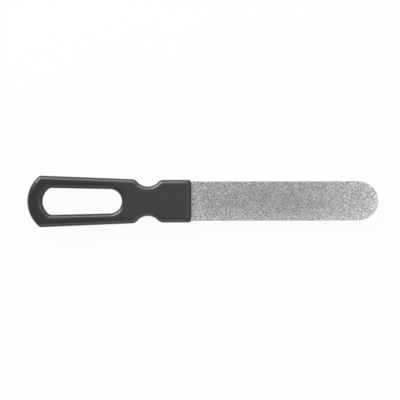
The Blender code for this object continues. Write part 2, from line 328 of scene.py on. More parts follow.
def is_inside(spots, ring):
    """For each spot, whether it lies inside a closed ring."""
    x, y = spots[:, 0, None], spots[:, 1, None]
    start, end = ring, np.roll(ring, -1, axis=0)
    straddles = (start[None, :, 1] > y) != (end[None, :, 1] > y)
    rise = np.where(end[:, 1] == start[:, 1], 1, end[:, 1] - start[:, 1])
    crossing = start[:, 0] + (y - start[:, 1]) * (end[:, 0] - start[:, 0]) / rise
    return (straddles & (x < crossing)).sum(axis=1) % 2 == 1


def edge_distance(spots, ring):
    """For each spot, its distance to the nearest line of a closed ring."""
    start, along = ring, np.roll(ring, -1, axis=0) - ring
    away = spots[:, None, :] - start[None]
    share = np.clip((away * along).sum(2) / (along**2).sum(1), 0, 1)
    return np.sqrt(((away - share[..., None] * along) ** 2).sum(2)).min(axis=1)


box_ring = np.array([(0, 0), (2, 0), (2, 2), (0, 2)], float)
box_middle = np.array([(1.0, 1.0)])
print("middle of a box of 2:", is_inside(box_middle, box_ring), edge_distance(box_middle, box_ring))

# %% Fill the ground between rings with even triangles
NO_SPOTS = np.zeros((0, 2))
CLEAR_OF_EDGES = 0.6
TRIANGLES_IN_OUTLINE = 1


def on_ground(spots, rings):
    """Which spots lie inside the first ring and outside the others."""
    kept = is_inside(spots, rings[0])
    for hole in rings[1:]:
        kept &= ~is_inside(spots, hole)
    return kept


def nearest_edge(spots, rings):
    return np.minimum.reduce([edge_distance(spots, ring) for ring in rings])


def even_spots(rings, spacing):
    """A triangular grid of spots on the ground, none of them close to an edge."""
    low, high = rings[0].min(axis=0), rings[0].max(axis=0)
    columns = np.arange(low[0], high[0], spacing)
    rows = np.arange(low[1], high[1], spacing * math.sqrt(3) / 2)
    spots = np.array([(x + spacing / 2 * (i % 2), y) for i, y in enumerate(rows) for x in columns])
    spots = spots[on_ground(spots, rings)]
    return spots[nearest_edge(spots, rings) > spacing * CLEAR_OF_EDGES]


def triangles_on(rings, spots=NO_SPOTS):
    """Triangles on the points of the rings and the spots, numbered in that order."""
    edges, first = [], 0
    for ring in rings:
        edges += [(first + i, first + (i + 1) % len(ring)) for i in range(len(ring))]
        first += len(ring)
    level = np.concatenate([*rings, spots])
    flat = [Vector(p) for p in level]
    result = geometry.delaunay_2d_cdt(flat, edges, [], TRIANGLES_IN_OUTLINE, SAME_PLACE, True)
    number = np.array([origins[0] for origins in result[3]])
    triangles = number[np.array(result[2])]
    return triangles[on_ground(level[triangles].mean(axis=1), rings)]


print("triangles in a box with one spot:", len(triangles_on([box_ring], box_middle)))

# %% Close the handle's front and back
FACE_SPACING = 0.9 * MM
CROWN_REACH = 3.0 * MM


def smooth_step(share):
    share = np.clip(share, 0, 1)
    return share * share * (3 - 2 * share)


def close_face(points, faces, ring_numbers, side):
    """Closes the front (+1) or the back (-1) with a face that rises gently toward its middle."""
    rings = [np.array([points[i][:2] for i in numbers]) for numbers in ring_numbers]
    spots = even_spots(rings, FACE_SPACING)
    rise = smooth_step(nearest_edge(spots, rings) / CROWN_REACH)
    heights = MIDDLE_Z + side * (HALF_THICKNESS - CROWN * (1 - rise))
    numbers = [*ring_numbers[0], *ring_numbers[1], *range(len(points), len(points) + len(spots))]
    points += [(x, y, z) for (x, y), z in zip(spots, heights)]
    faces += [tuple(numbers[i] for i in triangle) for triangle in triangles_on(rings, spots)]
    return len(spots)


for side, ring_numbers in zip((-1, 1), zip(outer_rings, window_rings)):
    print("spots on a face:", close_face(handle_points, handle_faces, ring_numbers, side))

# %% [markdown]
# ## From lists to objects
#
# Every piece here starts as a list of points and a list of faces. One helper turns such lists into an
# object with its faces turned outward and its round parts shaded smooth. Another makes a flat plate with
# holes, for the steel strip and for the tools that cut the handle's socket. An Extrude would do the same
# by hand, but these follow any outline that the lesson draws.

# %% Objects and plates
SHARP_ANGLE = math.radians(38)


def new_object(name, points, faces):
    bm = bmesh.new()
    corners = [bm.verts.new(p) for p in points]
    for face in faces:
        bm.faces.new([corners[i] for i in face])
    bmesh.ops.recalc_face_normals(bm, faces=bm.faces)
    mesh = bpy.data.meshes.new(name)
    bm.to_mesh(mesh)
    bm.free()
    mesh.shade_smooth()
    mesh.set_sharp_from_angle(angle=SHARP_ANGLE)
    thing = bpy.data.objects.new(name, mesh)
    bpy.context.scene.collection.objects.link(thing)
    return thing


def plate(name, rings, low_z, high_z):
    """A flat plate between two heights: the first ring is its edge, and the others are holes."""
    level = np.concatenate(rings)
    points = [(x, y, z) for z in (low_z, high_z) for x, y in level]
    triangles = triangles_on(rings)
    faces = [tuple(t) for t in triangles] + [tuple(t + len(level)) for t in triangles]
    first = 0
    for ring in rings:
        ends = [(first + i, first + (i + 1) % len(ring)) for i in range(len(ring))]
        faces += [(a, b, b + len(level), a + len(level)) for a, b in ends]
        first += len(ring)
    return new_object(name, points, faces)


def settle(thing):
    """Replaces an object's mesh with what its modifiers make of it."""
    graph = bpy.context.evaluated_depsgraph_get()
    thing.data = bpy.data.meshes.new_from_object(thing.evaluated_get(graph))
    thing.modifiers.clear()
    thing.data.shade_smooth()
    thing.data.set_sharp_from_angle(angle=SHARP_ANGLE)


def cut(thing, tool, operation="DIFFERENCE"):
    """Cuts a closed object with another one, and removes the tool."""
    modifier = thing.modifiers.new("cut", "BOOLEAN")
    modifier.operation = operation
    modifier.object = tool
    modifier.solver = "MANIFOLD"
    settle(thing)
    bpy.data.objects.remove(tool)


handle = new_object("moulded_handle", handle_points, handle_faces)
print("handle faces before the socket:", len(handle.data.polygons))

# %% [markdown]
# ## The steel strip
#
# The blade is stamped from strip, so it is one flat plate: a full round tip, square shoulders that sit
# inside the collar, and a narrow tang with two holes that the plastic flows through. The outline is drawn
# with the same arcs as the handle's, and a Bevel modifier breaks its edges. It serves here, where it
# didn't on the handle, because these edges are all square to begin with.

# %% Outline of the strip
SHOULDER_X = COLLAR_X - 2.0 * MM
SHOULDER_CORNER = 0.5 * MM
TANG_HALF = WAIST_HALF - 2.4 * MM
TANG_END_X = blade_low.x
TANG_ROOT_RADIUS = 1.0 * MM
TANG_END_RADIUS = 2.0 * MM
ANCHOR_HOLE_RADIUS = 2.0 * MM
ANCHOR_HOLES_X = (TANG_END_X + 6.0 * MM, SHOULDER_X - 6.0 * MM)
TIP_STEPS = 72
QUARTER = math.pi / 2


def strip_outline(grow=0):
    """The strip's edge, moved outward by a clearance where it is asked for."""
    root, end = TANG_ROOT_RADIUS - grow, TANG_END_RADIUS + grow
    back, tang, tang_end = SHOULDER_X - grow, TANG_HALF + grow, TANG_END_X - grow
    shoulder = (back + SHOULDER_CORNER, BLADE_HALF + grow - SHOULDER_CORNER)
    half = arc((TIP_X - BLADE_HALF, 0), BLADE_HALF + grow, 0, QUARTER, TIP_STEPS)
    half += arc(shoulder, SHOULDER_CORNER, QUARTER, 2 * QUARTER, CORNER_STEPS)
    half += arc((back - root, tang + root), root, 0, -QUARTER, CORNER_STEPS)
    half += arc((tang_end + end, tang - end), end, QUARTER, 2 * QUARTER, CORNER_STEPS)
    return np.array(half + [(x, -y) for x, y in reversed(half[1:])])


def anchor_holes(radius):
    rings = [arc((x, 0), radius, 0, math.tau, 2 * CORNER_STEPS)[:-1] for x in ANCHOR_HOLES_X]
    return [np.array(ring) for ring in rings]


print("points round the strip:", len(strip_outline()))

# %% Stamp the strip and break its edges
EDGE_BREAK = 0.06 * MM
EDGE_BREAK_STEPS = 3
SQUARE_EDGE = math.radians(60)

strip_rings = [strip_outline(), *anchor_holes(ANCHOR_HOLE_RADIUS)]
strip = plate("steel_strip", strip_rings, blade_low.z, blade_high.z)
bevel = strip.modifiers.new("broken edges", "BEVEL")
bevel.width = EDGE_BREAK
bevel.segments = EDGE_BREAK_STEPS
bevel.limit_method = "ANGLE"
bevel.angle_limit = SQUARE_EDGE
settle(strip)
print("steel strip faces:", len(strip.data.polygons))

# %% [markdown]
# ## The socket in the handle
#
# On the real file the plastic is injected round the strip, so the handle has the strip's shape inside it.
# It could be cut with the strip itself, but the two would then share every face. Two tools that are a
# tenth of a millimetre larger leave a clearance instead: a mouth as thick as the coated blade, and a slot
# as thick as the bare tang. The slot's tool has the strip's holes, and what they spare becomes the pegs
# that hold the blade.

# %% Cut the socket
MOULDING_CLEARANCE = 0.1 * MM
MOUTH_HALF_THICKNESS = coat_high.z - MIDDLE_Z + MOULDING_CLEARANCE
SLOT_HALF_THICKNESS = blade_high.z - MIDDLE_Z + MOULDING_CLEARANCE
CUT_OVERRUN = 1.0 * MM

mouth_back, mouth_front = SHOULDER_X - MOULDING_CLEARANCE, COLLAR_X + CUT_OVERRUN
mouth_half = BLADE_HALF + MOULDING_CLEARANCE
mouth_ring = np.array([(mouth_back, -mouth_half), (mouth_front, -mouth_half),
                       (mouth_front, mouth_half), (mouth_back, mouth_half)])
mouth_heights = (MIDDLE_Z - MOUTH_HALF_THICKNESS, MIDDLE_Z + MOUTH_HALF_THICKNESS)
slot_heights = (MIDDLE_Z - SLOT_HALF_THICKNESS, MIDDLE_Z + SLOT_HALF_THICKNESS)
peg_rings = anchor_holes(ANCHOR_HOLE_RADIUS - MOULDING_CLEARANCE)
slot_rings = [strip_outline(MOULDING_CLEARANCE), *peg_rings]
cut(handle, plate("slot_tool", slot_rings, *slot_heights))
cut(handle, plate("mouth_tool", [mouth_ring], *mouth_heights))
print("handle faces with its socket:", len(handle.data.polygons))

# %% [markdown]
# ## The grit coats
#
# Each face of the blade is plated with nickel that holds hard grains, and the coat ends in a slightly
# uneven rim just short of the strip's edge. A bump in the material would look right from afar, but close
# up a coat needs grains that stand out of it. So a fine grid gets a random height at each corner, a prism
# with an uneven edge trims it to the blade's outline, and flat shading keeps every facet of it bright or
# dark.

# %% A field of grains
GRAIN_SPACING = 0.17 * MM
GRID_JITTER = 0.3
FIELD_OVERRUN = 0.4 * MM
CLUMP_SIZE = 2.2 * MM
BOND_DEPTH = 0.03 * MM
COAT_HEIGHT = coat_high.z - blade_high.z + BOND_DEPTH
COAT_BACK_X = coat_low.x
GRAIN_SHARPNESS = 1.3
EVEN_SHARE = 0.8
CLUMP_SHARE = 0.35
FLIPPED_SHARE = 0.5


def grain_field(name, relief, seed):
    """A closed slab that lies on z=0 and has a field of grains for its top."""
    rng = np.random.default_rng(seed)
    x = np.arange(COAT_BACK_X - FIELD_OVERRUN, TIP_X + FIELD_OVERRUN, GRAIN_SPACING)
    y = np.arange(-BLADE_HALF - FIELD_OVERRUN, BLADE_HALF + FIELD_OVERRUN, GRAIN_SPACING)
    wide, deep = len(x), len(y)
    grid = np.stack(np.meshgrid(x, y, indexing="ij"), axis=-1)
    grid += rng.uniform(-GRID_JITTER, GRID_JITTER, grid.shape) * GRAIN_SPACING
    spots = grid.reshape(-1, 2)
    clumps = [noise.noise(Vector((px, py, seed * CLUMP_SIZE)) / CLUMP_SIZE) for px, py in spots]
    clumps = np.array(clumps).reshape(wide, deep)
    heights = rng.random((wide, deep)) ** GRAIN_SHARPNESS * (EVEN_SHARE + CLUMP_SHARE * clumps)
    top = COAT_HEIGHT - relief * (1 - np.clip(heights, 0, 1))
    numbers = np.arange(wide * deep).reshape(wide, deep)
    corners = [numbers[:-1, :-1], numbers[1:, :-1], numbers[1:, 1:], numbers[:-1, 1:]]
    quads = np.stack(corners, axis=-1).reshape(-1, 4)
    flip = rng.random(len(quads)) < FLIPPED_SHARE
    quads[flip] = np.roll(quads[flip], 1, axis=1)
    triangles = np.concatenate([quads[:, [0, 1, 2]], quads[:, [0, 2, 3]]])
    sides = [numbers[:, 0], numbers[-1, 1:], numbers[-2::-1, -1], numbers[0, -2:0:-1]]
    rim = np.concatenate(sides)
    points = np.concatenate([np.dstack([grid, top]).reshape(-1, 3), spots[rim] @ np.eye(2, 3)])
    bottom = wide * deep + np.arange(len(rim))
    walls = np.stack([rim, bottom, np.roll(bottom, -1), np.roll(rim, -1)], axis=-1)
    faces = triangles.tolist() + walls.tolist() + [bottom[::-1].tolist()]
    return new_object(name, points.tolist(), faces)


print("grains across the blade:", round(2 * BLADE_HALF / GRAIN_SPACING))

# %% A prism that trims the field
RIM_STEP = 0.35 * MM
RIM_UNEVENNESS = 0.05 * MM
RIM_MARGIN = 0.07 * MM


def coat_prism(name, seed):
    """The blade's outline with an uneven rim, tall enough to trim a field of grains."""
    rng = random.Random(seed)
    half = BLADE_HALF - RIM_MARGIN
    round_x = TIP_X - BLADE_HALF
    length = round_x - COAT_BACK_X
    side_steps = round(length / RIM_STEP)
    tip_steps = round(math.pi * half / RIM_STEP)
    side = [(COAT_BACK_X + length * i / side_steps, -half, 0, -1) for i in range(side_steps)]
    turns = [-QUARTER + math.pi * i / tip_steps for i in range(tip_steps + 1)]
    outs = [(math.cos(a), math.sin(a)) for a in turns]
    tip = [(round_x + half * out_x, half * out_y, out_x, out_y) for out_x, out_y in outs]
    ring = []
    for x, y, out_x, out_y in side + tip + [(x, -y, 0, 1) for x, y, _, _ in reversed(side)]:
        uneven = rng.uniform(-RIM_UNEVENNESS, RIM_UNEVENNESS)
        ring.append((x + out_x * uneven, y + out_y * uneven))
    return plate(name, [np.array(ring)], -COAT_HEIGHT, 2 * COAT_HEIGHT)


print("steps in the rim of the tip:", round(math.pi * (BLADE_HALF - RIM_MARGIN) / RIM_STEP))

# %% Both coats
COARSE_RELIEF = 0.11 * MM
FINE_RELIEF = 0.045 * MM
COARSE_SEED = 11
FINE_SEED = 12


def grit_coat(name, side, relief, seed):
    """The coat on the front (+1) or on the back (-1), turned over about the blade's long axis."""
    coat = grain_field(name, relief, seed)
    cut(coat, coat_prism("coat_prism", seed), "INTERSECT")
    coat.data.shade_flat()
    points = np.zeros(len(coat.data.vertices) * 3, np.float32)
    coat.data.vertices.foreach_get("co", points)
    points = points.reshape(-1, 3) * (1, side, side)
    points[:, 2] += blade_high.z - BOND_DEPTH if side > 0 else blade_low.z + BOND_DEPTH
    coat.data.vertices.foreach_set("co", points.ravel().astype(np.float32))
    coat.data.update()
    return coat


front_coat = grit_coat("coarse_grit_coat", 1, COARSE_RELIEF, COARSE_SEED)
back_coat = grit_coat("fine_grit_coat", -1, FINE_RELIEF, FINE_SEED)
for coat in (front_coat, back_coat):
    print(coat.name, "triangles:", sum(len(face.vertices) - 2 for face in coat.data.polygons))

# %% [markdown]
# ## Rims for the materials
#
# Hands polish a moulding on its rounded rims first, and the steel's broken edges are smoother than its
# faces. Cycles can guess such places from a mesh's density, with Pointiness, but the tilt of the surface
# finds them more evenly here. Each vertex stores a value that is 0 on a flat face or an upright wall, and
# 1 where the surface leans by half a right angle. The materials read it as an attribute.

# %% Store the rims
COUNTS_AS_RIM = 0.4


def store_rims(thing):
    normals = np.zeros(len(thing.data.vertices) * 3, np.float32)
    thing.data.vertices.foreach_get("normal", normals)
    up = normals.reshape(-1, 3)[:, 2]
    lean = 4 * up**2 * (1 - up**2)
    rims = thing.data.attributes.new("rim", "FLOAT", "POINT")
    rims.data.foreach_set("value", lean)
    return round(float((lean > COUNTS_AS_RIM).mean()), 3)


for thing in (handle, strip):
    print(thing.name, "share of points on a rim:", store_rims(thing))

# %% [markdown]
# ## Node groups that the finishes share
#
# All four finishes need some of the same effects: a grain, rims worn smooth, and the faint marks that
# handling leaves. Copied from one material to the next they would drift apart. So each is built once as a
# node group with named inputs, and every material sets its own values on it. A few short helpers keep the
# node code readable.

# %% Helpers for node trees


def new_group(name, inputs, outputs):
    """A shader node group: inputs as title and default, and outputs as titles of plain values."""
    tree = bpy.data.node_groups.new(name, "ShaderNodeTree")
    for title, default in inputs.items():
        kind = "NodeSocketFloat" if isinstance(default, float) else "NodeSocketVector"
        socket = tree.interface.new_socket(title, in_out="INPUT", socket_type=kind)
        socket.default_value = default
    for title in outputs:
        tree.interface.new_socket(title, in_out="OUTPUT", socket_type="NodeSocketFloat")
    given = tree.nodes.new("NodeGroupInput").outputs
    return tree, given, tree.nodes.new("NodeGroupOutput").inputs


def add(tree, kind, wires=None, **settings):
    """A new node. Each wire goes to a named or numbered input, from a socket or as a plain value."""
    made = tree.nodes.new("ShaderNode" + kind)
    for name, value in settings.items():
        setattr(made, name, value)
    for name, value in (wires or {}).items():
        if isinstance(value, bpy.types.NodeSocket):
            tree.links.new(value, made.inputs[name])
        else:
            made.inputs[name].default_value = value
    return made


def math_node(tree, operation, first, second=0.5):
    return add(tree, "Math", {0: first, 1: second}, operation=operation).outputs[0]


def stretch(tree, value, low, high, new_low=0.0, new_high=1.0):
    """Maps one range of a value onto another, and holds it at the ends."""
    wires = {"Value": value, "From Min": low, "From Max": high, "To Min": new_low, "To Max": new_high}
    return add(tree, "MapRange", wires).outputs["Result"]


def place_on(tree):
    """The place on the object in metres, which moves with it."""
    return add(tree, "TexCoord").outputs["Object"]


print("node kinds to hand:", len([k for k in dir(bpy.types) if k.startswith("ShaderNode")]))

# %% [markdown]
# ### Surface grain
#
# Moulded plastic carries the fine grain of its mould, and ground steel the lines of the wheel. Both are
# too fine for a mesh, so they are a noise that the materials use as a bump. A second noise, nine times as
# wide, varies the tone. Stretching the coordinates draws the same noise out into lines.

# %% Surface grain
WIDE_GRAIN = 9.0

grain_tree, given, out = new_group(
    "surface_grain", {"Size": 0.3 * MM, "Stretch": (1.0, 1.0, 1.0)}, ("Height", "Tone"))
drawn_out = {0: place_on(grain_tree), 1: given["Stretch"]}
stretched = add(grain_tree, "VectorMath", drawn_out, operation="MULTIPLY").outputs[0]
per_metre = math_node(grain_tree, "DIVIDE", 1.0, given["Size"])
fine = add(grain_tree, "TexNoise", {"Vector": stretched, "Scale": per_metre, "Detail": 2.0})
wide_scale = math_node(grain_tree, "DIVIDE", per_metre, WIDE_GRAIN)
wide = add(grain_tree, "TexNoise", {"Vector": stretched, "Scale": wide_scale, "Detail": 3.0})
grain_tree.links.new(fine.outputs["Fac"], out["Height"])
grain_tree.links.new(wide.outputs["Fac"], out["Tone"])
print("surface_grain nodes:", len(grain_tree.nodes))

# %% [markdown]
# ### Rims worn smooth
#
# A hand rubs the rims first, but not evenly. The stored rim value alone would give a neat stripe, so a
# broad noise takes some of it away in patches.

# %% Rims worn smooth
PATCH_RANGE = (0.35, 0.65)
RIM_RANGE = (0.25, 0.95)

wear_tree, given, out = new_group(
    "worn_rims", {"Patch Size": 4.0 * MM, "Patchiness": 0.4}, ("Mask",))
rim = add(wear_tree, "Attribute", attribute_name="rim").outputs["Fac"]
place = place_on(wear_tree)
per_metre = math_node(wear_tree, "DIVIDE", 1.0, given["Patch Size"])
patches = add(wear_tree, "TexNoise", {"Vector": place, "Scale": per_metre, "Detail": 3.0})
patches = stretch(wear_tree, patches.outputs["Fac"], *PATCH_RANGE)
taken = math_node(wear_tree, "MULTIPLY", patches, given["Patchiness"])
kept = math_node(wear_tree, "SUBTRACT", 1.0, taken)
mask = math_node(wear_tree, "MULTIPLY", stretch(wear_tree, rim, *RIM_RANGE), kept)
wear_tree.links.new(mask, out["Mask"])
print("worn_rims nodes:", len(wear_tree.nodes))

# %% [markdown]
# ### Marks of handling
#
# Fingers leave soft smudges, pouches and drawers leave fine hairlines, and both show only in the gloss. A
# painted image would need a UV map and would repeat. Here a twisted noise gives the smudges, and a narrow
# slice of a second one, turned a little and squeezed across, gives the hairlines.

# %% Marks of handling
SMUDGE_RANGE = (0.38, 0.68)
HAIR_RANGE = (0.66, 0.7)
HAIR_TURN = (0.0, 0.0, 0.35)
HAIR_SQUEEZE = (1.0, 26.0, 4.0)

marks_tree, given, out = new_group("handling_marks", {"Size": 9.0 * MM, "Scratches": 0.5}, ("Mask",))
place = place_on(marks_tree)
per_metre = math_node(marks_tree, "DIVIDE", 1.0, given["Size"])
smudges = add(marks_tree, "TexNoise", {
    "Vector": place, "Scale": per_metre, "Detail": 4.0, "Roughness": 0.6, "Distortion": 0.8})
smudges = stretch(marks_tree, smudges.outputs["Fac"], *SMUDGE_RANGE)
turned = add(marks_tree, "Mapping", {"Vector": place, "Rotation": HAIR_TURN, "Scale": HAIR_SQUEEZE})
hairs = add(marks_tree, "TexNoise", {
    "Vector": turned.outputs[0], "Scale": per_metre, "Detail": 2.0, "Distortion": 0.25})
hairs = stretch(marks_tree, hairs.outputs["Fac"], *HAIR_RANGE)
hairs = math_node(marks_tree, "MULTIPLY", hairs, given["Scratches"])
marks_tree.links.new(math_node(marks_tree, "MAXIMUM", smudges, hairs), out["Mask"])
print("handling_marks nodes:", len(marks_tree.nodes))

# %% [markdown]
# ### Bonded grit
#
# The real coat is a layer of crushed mineral, and each grain has its own tone and height. Grains smaller
# than the mesh's could be modelled too, but nobody would see more than their speckle. A Voronoi texture
# gives that: every cell is one grain, with a random tone and a height that falls toward its edge, and a
# noise gathers the grains in clumps.

# %% Bonded grit
CLUMP_WIDTH_IN_GRAINS = 2.6
CLUMP_RANGE = (0.3, 0.7)

grit_tree, given, out = new_group(
    "bonded_grit", {"Grain": 0.2 * MM, "Clumps": 0.5}, ("Tone", "Height"))
place = place_on(grit_tree)
per_metre = math_node(grit_tree, "DIVIDE", 1.0, given["Grain"])
cells = add(grit_tree, "TexVoronoi", {"Vector": place, "Scale": per_metre, "Randomness": 1.0})
shade = add(grit_tree, "SeparateColor", {"Color": cells.outputs["Color"]}).outputs[0]
clump_scale = math_node(grit_tree, "DIVIDE", per_metre, CLUMP_WIDTH_IN_GRAINS)
clumps = add(grit_tree, "TexNoise", {"Vector": place, "Scale": clump_scale, "Detail": 2.0})
clumps = stretch(grit_tree, clumps.outputs["Fac"], *CLUMP_RANGE)
tone = add(grit_tree, "Mix", {"Factor": given["Clumps"], "A": shade, "B": clumps})
grit_tree.links.new(tone.outputs["Result"], out["Tone"])
height = math_node(grit_tree, "SUBTRACT", 1.0, cells.outputs["Distance"])
grit_tree.links.new(height, out["Height"])
print("bonded_grit nodes:", len(grit_tree.nodes))

# %% [markdown]
# ### Painted light toward the ends
#
# The blade's colour is painted paler toward its tip, along one side and at its root. Toward the tip and
# the side this is painted light for a brighter reflection, and at the root it is painted light that
# offsets the collar's shadow. This could be painted as vertex weights. As a plain function of the place
# on the blade it stays smooth on any mesh, and one group serves both faces.

# %% Painted light toward the ends and one side
TIP_CURVE = 1.5
RIM_CURVE = 2.0
ROUND_STRETCH = 1.3

# Painted light: a mask that lifts the grit's colour toward the tip, along one side and at the root.
painted_light_tree, given, out = new_group("painted_light_toward_ends", {
    "Root X": 0.0, "Middle X": 0.1, "Tip X": 1.0, "Round X": 0.9, "Dull Y": 0.0, "Reach": 0.1,
    "Toward Tip": 0.5, "Toward Rim": 0.3, "Toward Root": 0.2}, ("Mask",))
place = add(painted_light_tree, "SeparateXYZ", {0: place_on(painted_light_tree)}).outputs
toward_tip = stretch(painted_light_tree, place["X"], given["Middle X"], given["Tip X"])
toward_tip = math_node(painted_light_tree, "POWER", toward_tip, TIP_CURVE)
past_round = math_node(painted_light_tree, "SUBTRACT", place["X"], given["Round X"])
past_round = math_node(painted_light_tree, "MAXIMUM", past_round, 0.0)
past_round = math_node(painted_light_tree, "MULTIPLY", past_round, ROUND_STRETCH)
off_middle = math_node(painted_light_tree, "SUBTRACT", place["Y"], given["Dull Y"])
out_from_middle = add(painted_light_tree, "CombineXYZ", {"X": past_round, "Y": off_middle}).outputs[0]
distance = add(painted_light_tree, "VectorMath", {0: out_from_middle}, operation="LENGTH").outputs["Value"]
full_reach = math_node(painted_light_tree, "ADD", given["Reach"], given["Dull Y"])
toward_rim = stretch(painted_light_tree, distance, given["Dull Y"], full_reach)
toward_rim = math_node(painted_light_tree, "POWER", toward_rim, RIM_CURVE)
root_end = math_node(painted_light_tree, "ADD", given["Root X"], given["Reach"])
toward_root = stretch(painted_light_tree, place["X"], given["Root X"], root_end, 1.0, 0.0)
mask = math_node(painted_light_tree, "MULTIPLY", toward_tip, given["Toward Tip"])
for share, weight in ((toward_rim, given["Toward Rim"]), (toward_root, given["Toward Root"])):
    mask = math_node(painted_light_tree, "ADD", mask, math_node(painted_light_tree, "MULTIPLY", share, weight))
painted_light_tree.links.new(mask, out["Mask"])
print("painted_light_toward_ends nodes:", len(painted_light_tree.nodes))

# %% [markdown]
# ## The black plastic
#
# The handle is satin black plastic. Its mould's fine grain scatters light and makes the web and the
# collar a little greyer. Fingers have worn the loop smoother and glossier, and its colour is painted a
# deeper black as painted shade, for the darker reflection in its glossy face. The rounded rims have the
# most polish, except at the collar's front, which the blade shields. A plain dark Principled BSDF would
# look like paint, so the wear drives the roughness, the height of the grain and a thin coat of polish,
# the loop's painted shade darkens the colour, and smudges change the gloss alone. The index of refraction
# is a little low, because the pits of the grain hide part of the shine. Metallic stays 0: it is an
# unfilled plastic.

# %% A material to fill


def new_material(name):
    """A material with an empty Principled BSDF, as the material, its node tree and the shader."""
    material = bpy.data.materials.new(name)
    material.use_nodes = True
    tree = material.node_tree
    return material, tree, tree.nodes["Principled BSDF"]


def use_group(tree, group, **values):
    """Places a node group, and sets its inputs. An underscore stands for a space in a title."""
    placed = tree.nodes.new("ShaderNodeGroup")
    placed.node_tree = group
    for title, value in values.items():
        placed.inputs[title.replace("_", " ")].default_value = value
    return placed.outputs


plastic, tree, shader = new_material("satin_black_plastic")
print("material to fill:", plastic.name)

# %% Colour, gloss and relief, which every finish sets


def mix_colours(tree, factor, first, second):
    """A colour between two others, which are given as red, green and blue."""
    mixed = add(tree, "Mix", {0: factor}, data_type="RGBA")
    mixed.inputs[6].default_value = (*first, 1.0)
    mixed.inputs[7].default_value = (*second, 1.0)
    return mixed.outputs[2]


def scale_colour(tree, colour, factor):
    """A colour made darker or lighter by a factor that changes over the surface."""
    return add(tree, "VectorMath", {0: colour, "Scale": factor}, operation="SCALE").outputs[0]


def set_gloss(tree, shader, roughness, marks, smudge):
    """Feeds the roughness into the shader, a little rougher under the marks of handling."""
    marked = math_node(tree, "ADD", roughness, math_node(tree, "MULTIPLY", marks, smudge))
    tree.links.new(marked, shader.inputs["Roughness"])


def set_relief(tree, shader, height, strength, distance):
    """Feeds a height into the shader's normal, through a Bump node."""
    bump = add(tree, "Bump", {"Strength": strength, "Distance": distance, "Height": height})
    tree.links.new(bump.outputs[0], shader.inputs["Normal"])


print("sockets of the shader:", len(shader.inputs))

# %% Where the handle is worn
WORN_TO_X = WINDOW_FRONT_X - 7.0 * MM
GRAINED_FROM_X = WINDOW_FRONT_X + 3.0 * MM
SHIELDED_FROM_X = COLLAR_X - 4.5 * MM
SHIELDED_X = COLLAR_X - 2.5 * MM
SHIELDED_WEAR = 0.1
LOOP_WEAR = 0.2

along = add(tree, "SeparateXYZ", {0: place_on(tree)}).outputs["X"]
rubbed = use_group(tree, wear_tree, Patch_Size=3.5 * MM, Patchiness=0.2)["Mask"]
exposed = stretch(tree, along, SHIELDED_FROM_X, SHIELDED_X, 1.0, SHIELDED_WEAR)
rim_wear = math_node(tree, "MULTIPLY", rubbed, exposed)
# This stretch drives the loop's wear, and also the painted shade in its colour below.
loop_wear_and_shade = stretch(tree, along, WORN_TO_X, GRAINED_FROM_X, 1.0, 0.0)
wear = math_node(tree, "ADD", rim_wear, math_node(tree, "MULTIPLY", loop_wear_and_shade, LOOP_WEAR))
print("loop worn smooth up to x, mm:", round(WORN_TO_X / MM, 1))

# %% The plastic's colour, gloss and grain
DEEP_BLACK = (0.0156, 0.0156, 0.0159)
SOFT_BLACK = (0.0196, 0.0196, 0.02)
LOOP_SHADE_SHARE = 0.3
GRAINED_ROUGHNESS = 0.43
WORN_ROUGHNESS = 0.25
PLASTIC_SMUDGE = 0.03
GRAIN_LEFT = 0.2
RIM_POLISH = 0.22
POLISH_ROUGHNESS = 0.25
PLASTIC_IOR = 1.4

grain = use_group(tree, grain_tree, Size=0.28 * MM)
marks = use_group(tree, marks_tree, Size=11.0 * MM, Scratches=0.7)["Mask"]
black = mix_colours(tree, grain["Tone"], DEEP_BLACK, SOFT_BLACK)
# Painted shade: the loop's colour is scaled down to a deeper black, for the darker reflection of its
# glossy face.
loop_shade = stretch(tree, loop_wear_and_shade, 0.0, 1.0, 1.0, LOOP_SHADE_SHARE)
tree.links.new(scale_colour(tree, black, loop_shade), shader.inputs["Base Color"])
roughness = stretch(tree, wear, 0.0, 1.0, GRAINED_ROUGHNESS, WORN_ROUGHNESS)
set_gloss(tree, shader, roughness, marks, PLASTIC_SMUDGE)
kept_grain = stretch(tree, wear, 0.0, 1.0, 1.0, GRAIN_LEFT)
relief = math_node(tree, "MULTIPLY", grain["Height"], kept_grain)
set_relief(tree, shader, relief, strength=0.6, distance=0.012 * MM)
tree.links.new(math_node(tree, "MULTIPLY", rim_wear, RIM_POLISH), shader.inputs["Coat Weight"])
shader.inputs["Coat Roughness"].default_value = POLISH_ROUGHNESS
shader.inputs["IOR"].default_value = PLASTIC_IOR
print("plastic nodes:", len(tree.nodes))

# %% [markdown]
# ## The steel
#
# Little of the strip shows: the thin edge between the two coats, which was ground after stamping, so its
# lines run along the edge. Lines that follow an edge round a corner are hard to make with a texture that
# lies in the plan, but they all lie at constant heights. So the grain is squeezed in Z and stretched far
# out in X and Y.

# %% The ground steel
DULL_STEEL = (0.56, 0.56, 0.55)
BRIGHT_STEEL = (0.68, 0.68, 0.67)
LINES_ALONG_EDGE = (0.012, 0.012, 1.0)
STEEL_ROUGHNESS = 0.34
BROKEN_EDGE_SHINE = 0.1
STEEL_SMUDGE = 0.08

